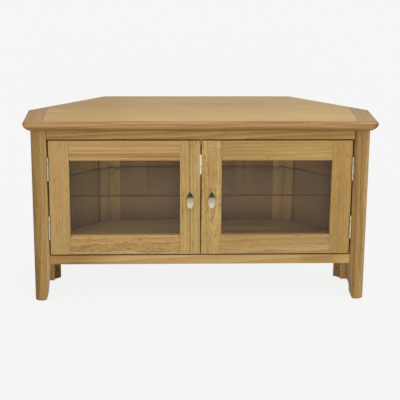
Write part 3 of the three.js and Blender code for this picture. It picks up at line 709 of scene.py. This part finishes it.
class OBJECT_OT_cabinet_back(bpy.types.Operator):
    """Rails of the back and its panel with the cable hole"""
    bl_idname = "object.cabinet_back"
    bl_label = "Back"

    def execute(self, context):
        # The back top rail's darker cast is painted shade under the top
        for node, seed, cast in (("back_top_rail", 25.1, (0.85, 0.89, 0.92)),
                                 ("back_bottom_rail", 26.3, (1, 1, 1))):
            board(node, oak(
                "oak_" + node, node, "x", varied(INNER_RAIL, *cast), pith=(30, 90), rings=0.2, seed=seed),
                "oak_wall")
        # The darker band high on the back panel is painted shade under the top; the band below it is paler
        board("back_panel", oak(
            "oak_back_panel", "back_panel", "z", varied(BOARD, 0.955, 0.98, 0.96), pith=(20, 60), ring=12,
            rings=0.1, fibre=0.16, pore=0.08, stave=170, glue=0.08, lean=12, seed=27.7,
            streaks=[(2, 100, 330, -0.14), (2, 322, 470, 0.2)]), "back_board", PANEL_EASING, degrees=50)
        return {"FINISHED"}


class OBJECT_OT_cabinet_floor(bpy.types.Operator):
    """Floor of the cupboard"""
    bl_idname = "object.cabinet_floor"
    bl_label = "Floor panel"

    def execute(self, context):
        # The floor panel is paler at the left and darker at the right: painted light and painted shade
        board("floor_panel", oak(
            "oak_floor_panel", "floor_panel", "x", FLOOR, pith=(60, 150), ring=9, rings=0.16, fibre=0.2,
            pore=0.1, stave=110, glue=0.08, seed=29.3,
            streaks=[(0, -520, -20, -0.25), (0, 60, 520, 0.26)]), "oak_board", FLOOR_EASING)
        return {"FINISHED"}


# Each door board: grain, pith, ring, rings, fibre, pore, fleck, lean, seed, cast of its colour, streaks
DOOR_BOARDS = {
    "left": {
        "hinge_stile": ("z", (120, 60), 5, 0.18, 0.42, 0.24, 0.0, 5, 31.7, (0.995, 1.015, 1.02), ()),
        "lock_stile": ("z", (70, 90), 6, 0.24, 0.46, 0.32, 0.0, 3, 33.2, (1.04, 1.1, 1.1),
                       ((0, -37, -29, 0.16),)),
        "top_rail": ("x", (-34, 40), 7, 0.3, 0.26, 0.14, 0.0, 12, 35.9, (1.0, 1.0, 1.0),
                     ((2, 466, 480, 0.2),)),
        "bottom_rail": ("x", (10, 50), 7, 0.2, 0.26, 0.14, 0.48, 9, 37.4, (0.99, 1.0, 1.0), ()),
    },
    "right": {
        "hinge_stile": ("z", (90, 70), 5, 0.24, 0.42, 0.32, 0.0, 5, 39.2, (0.97, 0.985, 0.925), ()),
        "lock_stile": ("z", (6, 30), 6, 0.24, 0.4, 0.28, 0.34, 12, 41.8, (1.07, 1.14, 1.17),
                       ((2, 330, 500, 0.08),)),
        "top_rail": ("x", (60, 90), 6, 0.18, 0.36, 0.2, 0.0, 5, 43.3, (0.978, 0.995, 0.955), ()),
        "bottom_rail": ("x", (50, 120), 7, 0.2, 0.4, 0.32, 0.0, 6, 45.5, (0.98, 1.0, 1.01), ()),
    },
}


class OBJECT_OT_cabinet_door_frames(bpy.types.Operator):
    """Stiles and rails of both doors"""
    bl_idname = "object.cabinet_door_frames"
    bl_label = "Door frames"

    def execute(self, context):
        # The hinge recesses in the hinge stiles get painted shade
        recess = painted_shade_oak("oak_stile_recess_painted_shade", RECESS_PAINTED_SHADE)
        for side, parts in DOOR_BOARDS.items():
            for part, (grain, *pattern, lean, seed, cast, streaks) in parts.items():
                node = "door_" + side + "_" + part
                look = oak("oak_" + node, node, grain, varied(DOOR, *cast), *pattern, lean=lean, seed=seed,
                           streaks=streaks)
                hinged = part == "hinge_stile"
                piece = board(node, [look, recess] if hinged else look, "oak_door", DOOR_EASING)
                if hinged:
                    paint_recess_shade(piece, side)
        return {"FINISHED"}


class OBJECT_OT_cabinet_glass(bpy.types.Operator):
    """Glass of the doors and the glass shelf on its pins"""
    bl_idname = "object.cabinet_glass"
    bl_label = "Glass"

    def execute(self, context):
        clear = pane_glass("float_glass_door", 0xFDFCFA, 0.45)
        for side, _ in SIDES:
            node = "door_" + side + "_glass"
            piece = soften(copy_of(node, "pane_" + node), 0.5 * MM)
            finish(piece, "door_" + side, clear, "door_glass", node)
        sheet = pane_glass("float_glass_shelf", 0xFAFCFA, 0.15)
        edge = ground_edge("float_glass_ground_edge", 0x322F24, 0.25)
        # The far edges are seen through the sheet, which fills them with light
        far_edge = ground_edge("float_glass_far_edge", 0x3A3728, 0.84)
        shelf = soften(copy_of("glass_shelf", "glass_shelf_sheet"), 0.6 * MM)
        finish(shelf, "carcass", [sheet, edge, far_edge], "shelf_glass", "glass_shelf")
        for face in shelf.data.polygons:
            face.material_index = 0 if abs(face.normal.z) > 0.9 else 1 if face.normal.y < -0.5 else 2
        # The pins' nickel is darkened as painted shade, where they sit under the shelf
        nickel = metal("nickel_shelf_pin_painted_shade", linear(0x9C9484), 0.4, 0.8)
        for side, _ in SIDES:
            for part in ("front_shelf_pin_", "rear_shelf_pin_"):
                node = part + side
                pin = soften(copy_of(node, "pin_" + node), 0.6 * MM, degrees=40, segments=3)
                finish(pin, "carcass", nickel, "nickel", node)
        return {"FINISHED"}


# The knob from foot to tip: height and half width as shares of its own, and where its front and its back
# lie between its foremost point and the door. From its middle up, the front leans back more and more, so
# that its reflection fades into the dark ceiling.
DROP_SHARES = (
    (0.0, 0.15, 0.22, 0.44), (0.03, 0.38, 0.12, 0.50), (0.08, 0.58, 0.06, 0.56), (0.20, 0.84, 0.01, 0.63),
    (0.32, 0.95, 0.0, 0.67), (0.42, 0.99, 0.028, 0.69), (0.50, 1.0, 0.055, 0.70),
    (0.58, 0.98, 0.083, 0.71), (0.65, 0.93, 0.11, 0.715), (0.70, 0.88, 0.133, 0.72),
    (0.73, 0.84, 0.165, 0.73), (0.77, 0.78, 0.223, 0.74), (0.82, 0.68, 0.308, 0.75),
    (0.87, 0.56, 0.402, 0.765), (0.92, 0.43, 0.50, 0.78), (0.965, 0.29, 0.591, 0.80),
    (1.0, 0.13, 0.664, 0.83),
)
DROP_SIDES = 20
# The front of the knob's round section is flattened where it stands further out than this share of its
# radius, and widened this many times
FLAT_FROM = 0.55
FLAT_WIDENED = 1.15
KNOB_SMOOTH_ANGLE = math.radians(50)
# Where the stem meets the knob, as shares of the knob's height and of its reach from the door
STEM_HEIGHT = 0.62
STEM_START = 0.45
STEM_RADIUS = 5 * MM
# How far the stem and its rose stay clear of the door
STEM_GAP = 0.3 * MM
ROSE_RADIUS = 7.5 * MM
ROSE_THICK = 2 * MM


class OBJECT_OT_cabinet_knobs(bpy.types.Operator):
    """Drop-shaped knobs on their stems"""
    bl_idname = "object.cabinet_knobs"
    bl_label = "Knobs"

    def execute(self, context):
        sizes = context.scene.cabinet_sizes
        look = metal("nickel_satin_knob", context.scene.cabinet_colours.nickel, 0.28, 0.5)
        for side, _ in SIDES:
            node = "door_" + side + "_knob"
            low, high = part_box(node)
            across = (low.x + high.x) / 2
            door_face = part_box("door_" + side + "_lock_stile")[0].y
            reach = door_face - low.y
            tall, half = sizes.knob_height, sizes.knob_width / 2
            rings = [(Vector((across, low.y + reach * (front + back) / 2, low.z + tall * share)),
                      half * wide, reach * (back - front) / 2) for share, wide, front, back in DROP_SHARES]
            drop = self.drop("nickel_knob_" + side, rings)
            height = low.z + STEM_HEIGHT * tall
            stem_end = door_face - STEM_GAP
            start = low.y + STEM_START * reach
            stem = round_piece("stem", STEM_RADIUS, stem_end - start,
                               (across, (stem_end + start) / 2, height), (QUARTER_TURN, 0, 0))
            rose = round_piece("rose", ROSE_RADIUS, ROSE_THICK,
                               (across, stem_end - ROSE_THICK / 2, height), (QUARTER_TURN, 0, 0), sides=32)
            soften(rose, 0.8 * MM, degrees=40, segments=3)
            knob = merge("nickel_knob_" + side, [drop, stem, rose])
            only(knob)
            bpy.ops.object.shade_smooth_by_angle(angle=KNOB_SMOOTH_ANGLE)
            finish(knob, "door_" + side, look, "nickel", node)
        return {"FINISHED"}

    def drop(self, name, rings):
        """The drop itself, drawn up through rings that each have a middle, a width and a thickness."""
        spot, wide, thick = rings[0]
        nothing()
        bpy.ops.mesh.primitive_circle_add(vertices=DROP_SIDES, radius=1, fill_type="NGON", location=spot)
        piece = bpy.context.object
        piece.name = name
        bpy.ops.object.transform_apply(location=True, rotation=True, scale=True)
        bpy.ops.object.mode_set(mode="EDIT")
        # The front is flattened between its rounded edges
        bpy.ops.mesh.select_mode(type="VERT")
        bpy.ops.mesh.select_all(action="DESELECT")
        mesh = bmesh.from_edit_mesh(piece.data)
        for corner in mesh.verts:
            corner.select_set(corner.co.y < spot.y - FLAT_FROM)
        bmesh.update_edit_mesh(piece.data)
        bpy.ops.transform.resize(value=(FLAT_WIDENED, 0, 1), center_override=spot - Vector((0, 1, 0)))
        bpy.ops.mesh.select_all(action="SELECT")
        bpy.ops.transform.resize(value=(wide, thick, 1), center_override=spot)
        for middle, new_wide, new_thick in rings[1:]:
            bpy.ops.mesh.extrude_region_move(TRANSFORM_OT_translate={"value": middle - spot})
            bpy.ops.transform.resize(value=(new_wide / wide, new_thick / thick, 1), center_override=middle)
            spot, wide, thick = middle, new_wide, new_thick
        bpy.ops.mesh.select_all(action="SELECT")
        bpy.ops.mesh.remove_doubles(threshold=SAME_POINT)
        bpy.ops.mesh.normals_make_consistent(inside=False)
        bpy.ops.object.mode_set(mode="OBJECT")
        modifier = piece.modifiers.new("Rounding", "SUBSURF")
        modifier.levels = modifier.render_levels = 2
        bpy.ops.object.modifier_apply(modifier=modifier.name)
        return piece


# A screw head: its thickness, half the length and half the width of each arm of its cross as shares of the
# head, and how far the arms are cut, which is right through
HEAD_THICK = 0.6 * MM
CROSS_LONG = 0.28
CROSS_WIDE = 0.06
CROSS_DEEP = 1.2 * MM


def screw(name, middle, facing, head):
    """A countersunk screw head with a cross recess, facing along X or Y."""
    turn = (0, QUARTER_TURN * facing[0], 0) if facing[0] else (QUARTER_TURN, 0, 0)
    piece = round_piece(name, head / 2, HEAD_THICK, middle, turn, sides=20)
    soften(piece, 0.2 * MM, degrees=40)
    out = Vector([abs(part) for part in facing])
    place = Vector(middle) + Vector(facing) * HEAD_THICK / 2
    for upright, level in ((CROSS_LONG, CROSS_WIDE), (CROSS_WIDE, CROSS_LONG)):
        size = out * CROSS_DEEP + Vector((0, 0, head * upright))
        size += Vector((0, head * level, 0)) if facing[0] else Vector((head * level, 0, 0))
        arm = box_piece("arm", place - size, place + size)
        only(piece)
        modifier = piece.modifiers.new("Recess", "BOOLEAN")
        modifier.operation = "DIFFERENCE"
        modifier.solver = "EXACT"
        modifier.object = arm
        bpy.ops.object.modifier_apply(modifier=modifier.name)
        bpy.data.objects.remove(arm)
    return piece


# Three countersunk screws hold each hinge leaf: their places along it, how deep they are sunk and how far
# they stand from its back edge
SCREW_PLACES = (0.14, 0.5, 0.86)
SCREW_SUNK = 0.22 * MM
SCREW_INSET = 9 * MM


class OBJECT_OT_cabinet_hinges(bpy.types.Operator):
    """Butt hinges: leaves, knuckles, pins and screws"""
    bl_idname = "object.cabinet_hinges"
    bl_label = "Hinges"

    def execute(self, context):
        look = metal("zinc_plated_steel", linear(0xE2D5B5), 0.36, 0.6)
        head = context.scene.cabinet_sizes.screw_head
        for side, sign in SIDES:
            for place in ("lower", "upper"):
                stem = "hinge_" + side + "_" + place
                for leaf, body in (("leg", "carcass"), ("door", "door_" + side)):
                    node = stem + "_" + leaf + "_leaf"
                    low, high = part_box(node)
                    piece = copy_of(node, "steel_" + node)
                    soften(piece, 0.8 * MM, degrees=40, where=self.knuckle_end)
                    soften(piece, 0.3 * MM, degrees=40)
                    pieces = [piece]
                    # The screws are on the face that shows when the door opens
                    facing = (-sign if leaf == "leg" else sign, 0, 0)
                    sides = self.extent(node, high.y, 0)
                    face = sides[0] if facing[0] < 0 else sides[1]
                    bottom, top = self.extent(node, high.y, 2) if leaf == "door" else (low.z, high.z)
                    for share in SCREW_PLACES:
                        spot = (face - facing[0] * SCREW_SUNK, high.y - SCREW_INSET,
                                bottom + (top - bottom) * share)
                        pieces.append(screw("screw", spot, facing, head))
                    finish(merge("steel_" + node, pieces), body, look, "steel", node)
        return {"FINISHED"}

    def knuckle_end(self, edge):
        """Whether an edge runs round the end of a knuckle."""
        normals = [face.normal for face in edge.link_faces]
        return (any(abs(normal.z) > 0.9 for normal in normals)
                and any(abs(normal.y) > 0.15 and abs(normal.x) > 0.02 for normal in normals))

    def extent(self, node, back, axis):
        """How far a leaf's plate reaches along an axis, found at its back edge, clear of the knuckles."""
        places = [corner.co[axis] for corner in frame["nodes"][node].data.vertices
                  if corner.co.y > back - 1 * MM]
        return min(places), max(places)


class OBJECT_OT_cabinet_catch(bpy.types.Operator):
    """Magnetic catch behind the top rail and the plates that it holds"""
    bl_idname = "object.cabinet_catch"
    bl_label = "Catch"

    def execute(self, context):
        plastic = moulded_plastic("plastic_catch", 0xE8E2D2)
        steel = metal("steel_strike_plate", linear(0xCFC8BA), 0.3, 0.8)
        case = soften(copy_of("magnetic_catch", "catch_case"), 0.8 * MM, degrees=40, segments=3)
        finish(case, "carcass", plastic, "catch_plastic", "magnetic_catch")
        for side, _ in SIDES:
            node = "door_" + side + "_strike_plate"
            low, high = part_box(node)
            plate = soften(copy_of(node, "steel_" + node), 0.3 * MM, degrees=40)
            middle = (low + high) / 2
            bolt = screw("bolt", (middle.x, high.y - 0.25 * MM, middle.z), (0, 1, 0), 5 * MM)
            finish(merge("steel_" + node, [plate, bolt]), "door_" + side, steel, "steel", node)
        return {"FINISHED"}


# Each lamp's name and strength, then its height, its heading and how wide it spreads, in degrees
LAMPS = (
    ("key_sun", 1.2, 64, 28, 50), ("front_sun", 0.75, 5, 0, 16), ("fill_sun", 0.35, 28, -10, 40),
    ("back_sun", 0.4, 35, 165, 80),
)
SKY_LIGHT = 0.38
# The ceiling that the metal mirrors darkens to this between two heights on a sphere of radius one
CEILING = 0.04
CEILING_FROM, CEILING_TO = 0.5, 0.75
# The camera, fitted to the cabinet's corners in the photograph: its place, then its heading, how far it looks
# down and its roll in degrees, and its lens and sensor in millimetres
CAMERA_PLACE = (-0.13798, -3.69338, 1.34418)
CAMERA_HEADING, CAMERA_DOWN, CAMERA_ROLL = -2.217, 16.124, 0.44
CAMERA_LENS = 106.095
CAMERA_SENSOR = 36


def aimed(heading, down, roll=0):
    """The turn of a lamp or camera that looks towards Y, from three angles in degrees."""
    turn = Matrix.Rotation(math.radians(heading), 4, "Z") @ Matrix.Rotation(math.radians(90 - down), 4, "X")
    return (turn @ Matrix.Rotation(math.radians(roll), 4, "Z")).to_euler()


class OBJECT_OT_cabinet_stage(bpy.types.Operator):
    """Studio floor, soft light and the camera"""
    bl_idname = "object.cabinet_stage"
    bl_label = "Stage"

    def execute(self, context):
        nothing()
        bpy.ops.mesh.primitive_plane_add(size=60, location=(0, 0, 0))
        floor = context.object
        floor.name = "studio_floor"
        material, tree, _ = new_material("studio_floor_paper")
        seen = context.scene.cabinet_colours.floor
        path = add(tree, "ShaderNodeLightPath")
        rays = path.outputs["Is Camera Ray"]
        for kind in ("Is Glossy Ray", "Is Transmission Ray"):
            rays = maths(tree, "MAXIMUM", rays, path.outputs[kind])
        paper = add(tree, "ShaderNodeBsdfDiffuse", {"Color": seen})
        glow = add(tree, "ShaderNodeEmission", {"Color": seen, "Strength": 1.0})
        shown = add(tree, "ShaderNodeMixShader", {"Fac": 0.92, 1: paper.outputs[0], 2: glow.outputs[0]})
        plain = add(tree, "ShaderNodeBsdfDiffuse", {"Color": linear(0xE0DEDA)})
        floor.data.materials.append(surfaced(material, add(tree, "ShaderNodeMixShader", {
            "Fac": rays, 1: plain.outputs[0], 2: shown.outputs[0]})))
        for name, strength, height, heading, spread in LAMPS:
            nothing()
            bpy.ops.object.light_add(type="SUN", location=(0, 0, 3), rotation=aimed(heading, height))
            lamp = context.object
            lamp.name = name
            lamp.data.energy = strength
            lamp.data.angle = math.radians(spread)
            # No lamp is mirrored in the glass or the metal
            lamp.visible_glossy = False
        world = bpy.data.worlds.new("soft_studio")
        context.scene.world = world
        world.use_nodes = True
        tree = world.node_tree
        tree.nodes.clear()
        path = add(tree, "ShaderNodeLightPath")
        # The metal mirrors a dark ceiling, as it does under a studio's black card
        aim = add(tree, "ShaderNodeSeparateXYZ", {0: add(tree, "ShaderNodeTexCoord").outputs["Generated"]})
        card = add(tree, "ShaderNodeMapRange", {
            "Value": aim.outputs["Z"], "From Min": CEILING_FROM, "From Max": CEILING_TO,
            "To Min": SKY_LIGHT, "To Max": CEILING})
        level = add(tree, "ShaderNodeMix", {
            "Factor": path.outputs["Is Glossy Ray"], "A": SKY_LIGHT, "B": card.outputs["Result"]},
            data_type="FLOAT")
        soft = add(tree, "ShaderNodeBackground", {
            "Color": linear(0xFFFFFF), "Strength": level.outputs["Result"]})
        backdrop = add(tree, "ShaderNodeBackground", {"Color": seen, "Strength": 1.0})
        sky = add(tree, "ShaderNodeMixShader", {
            "Fac": path.outputs["Is Camera Ray"], 1: soft.outputs[0], 2: backdrop.outputs[0]})
        add(tree, "ShaderNodeOutputWorld", {"Surface": sky.outputs[0]})
        nothing()
        bpy.ops.object.camera_add(location=CAMERA_PLACE,
                                  rotation=aimed(CAMERA_HEADING, CAMERA_DOWN, CAMERA_ROLL))
        camera = context.object
        camera.name = "photo_camera"
        camera.data.sensor_width = CAMERA_SENSOR
        camera.data.lens = CAMERA_LENS
        camera.data.clip_end = 100
        context.scene.camera = camera
        context.scene.view_settings.view_transform = "Standard"
        return {"FINISHED"}


STEPS = (
    OBJECT_OT_cabinet_top, OBJECT_OT_cabinet_legs, OBJECT_OT_cabinet_front_rails,
    OBJECT_OT_cabinet_side_walls, OBJECT_OT_cabinet_angled_walls, OBJECT_OT_cabinet_back,
    OBJECT_OT_cabinet_floor, OBJECT_OT_cabinet_door_frames, OBJECT_OT_cabinet_glass,
    OBJECT_OT_cabinet_knobs, OBJECT_OT_cabinet_hinges, OBJECT_OT_cabinet_catch, OBJECT_OT_cabinet_stage,
)


class VIEW3D_PT_cabinet(bpy.types.Panel):
    """The steps that dress the cabinet, in order"""
    bl_label = "Corner cabinet"
    bl_idname = "VIEW3D_PT_cabinet"
    bl_space_type = "VIEW_3D"
    bl_region_type = "UI"
    bl_category = "Cabinet"

    def draw(self, context):
        for group in (context.scene.cabinet_sizes, context.scene.cabinet_colours):
            for key in group.__annotations__:
                self.layout.prop(group, key)
        for step in STEPS:
            self.layout.operator(step.bl_idname)


CLASSES = (CabinetSizes, CabinetColours) + STEPS + (VIEW3D_PT_cabinet,)


def register():
    """Registers the classes and hangs the sizes and colours on the scene."""
    for one in CLASSES:
        bpy.utils.register_class(one)
    bpy.types.Scene.cabinet_sizes = PointerProperty(type=CabinetSizes)
    bpy.types.Scene.cabinet_colours = PointerProperty(type=CabinetColours)


def unregister():
    """Takes the sizes, colours and classes away again."""
    del bpy.types.Scene.cabinet_colours
    del bpy.types.Scene.cabinet_sizes
    for one in reversed(CLASSES):
        bpy.utils.unregister_class(one)


def main():
    """Dresses the cabinet step by step."""
    register()
    for step in STEPS:
        group, name = step.bl_idname.split(".")
        getattr(getattr(bpy.ops, group), name)()


if __name__ == "__main__":
    main()
